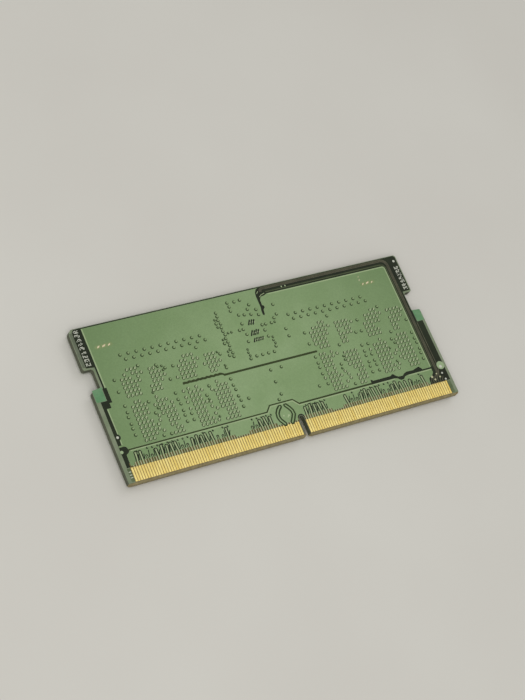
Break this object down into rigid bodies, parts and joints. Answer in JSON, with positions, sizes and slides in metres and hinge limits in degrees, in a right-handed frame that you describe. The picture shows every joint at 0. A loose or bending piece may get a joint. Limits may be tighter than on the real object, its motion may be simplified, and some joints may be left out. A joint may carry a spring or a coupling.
{
  "type": "laptop memory module",
  "caption": "Small-outline memory module: notched green circuit board with gold edge contacts, memory packages on one face and a bare back.",
  "frame": {"origin": "centre of the board outline, at the level of the memory packages' outer faces that the module lies on", "axes": "+X along the long edge, +Y from the contact edge to the far edge, +Z from the populated front face to the bare back face"},
  "size_m": [0.0696, 0.03, 0.0023],
  "materials": {
    "laminate": "bare woven-glass laminate, routed and bevelled edges",
    "solder_mask": "green translucent solder mask, satin gloss, over copper",
    "gold_plating": "hard gold plating, satin, faint wipe marks",
    "mould_compound": "black moulding compound, fine matte texture",
    "package_substrate": "dark green package substrate, sawn edges",
    "ferrite": "dark grey pressed magnetic powder",
    "capacitor_ceramic": "fired brown ceramic, satin",
    "tinned_terminal": "soldered tin, soft metallic gloss",
    "silkscreen": "white printed legend ink"
  },
  "bodies": {
    "root": {"board_laminate": "laminate", "back_mask": "solder_mask", "front_mask": "solder_mask", "contacts_back_left": "gold_plating", "contacts_back_right": "gold_plating", "contacts_front_left": "gold_plating", "contacts_front_right": "gold_plating", "dram_1_mould": "mould_compound", "dram_1_substrate": "package_substrate", "dram_2_mould": "mould_compound", "dram_2_substrate": "package_substrate", "dram_3_mould": "mould_compound", "dram_3_substrate": "package_substrate", "dram_4_mould": "mould_compound", "dram_4_substrate": "package_substrate", "power_controller_mould": "mould_compound", "power_controller_carrier": "package_substrate", "configuration_hub_mould": "mould_compound", "configuration_hub_carrier": "package_substrate", "inductor_1_body": "ferrite", "inductor_1_end_a": "tinned_terminal", "inductor_1_end_b": "tinned_terminal", "inductor_2_body": "ferrite", "inductor_2_end_a": "tinned_terminal", "inductor_2_end_b": "tinned_terminal", "inductor_3_body": "ferrite", "inductor_3_end_a": "tinned_terminal", "inductor_3_end_b": "tinned_terminal", "bulk_capacitor_1_body": "capacitor_ceramic", "bulk_capacitor_1_end_a": "tinned_terminal", "bulk_capacitor_1_end_b": "tinned_terminal", "bulk_capacitor_2_body": "capacitor_ceramic", "bulk_capacitor_2_end_a": "tinned_terminal", "bulk_capacitor_2_end_b": "tinned_terminal", "bulk_capacitor_3_body": "capacitor_ceramic", "bulk_capacitor_3_end_a": "tinned_terminal", "bulk_capacitor_3_end_b": "tinned_terminal", "bulk_capacitor_4_body": "capacitor_ceramic", "bulk_capacitor_4_end_a": "tinned_terminal", "bulk_capacitor_4_end_b": "tinned_terminal", "bulk_capacitor_5_body": "capacitor_ceramic", "bulk_capacitor_5_end_a": "tinned_terminal", "bulk_capacitor_5_end_b": "tinned_terminal", "bulk_capacitor_6_body": "capacitor_ceramic", "bulk_capacitor_6_end_a": "tinned_terminal", "bulk_capacitor_6_end_b": "tinned_terminal", "bulk_capacitor_7_body": "capacitor_ceramic", "bulk_capacitor_7_end_a": "tinned_terminal", "bulk_capacitor_7_end_b": "tinned_terminal", "bulk_capacitor_8_body": "capacitor_ceramic", "bulk_capacitor_8_end_a": "tinned_terminal", "bulk_capacitor_8_end_b": "tinned_terminal"}
  },
  "joints": []
}
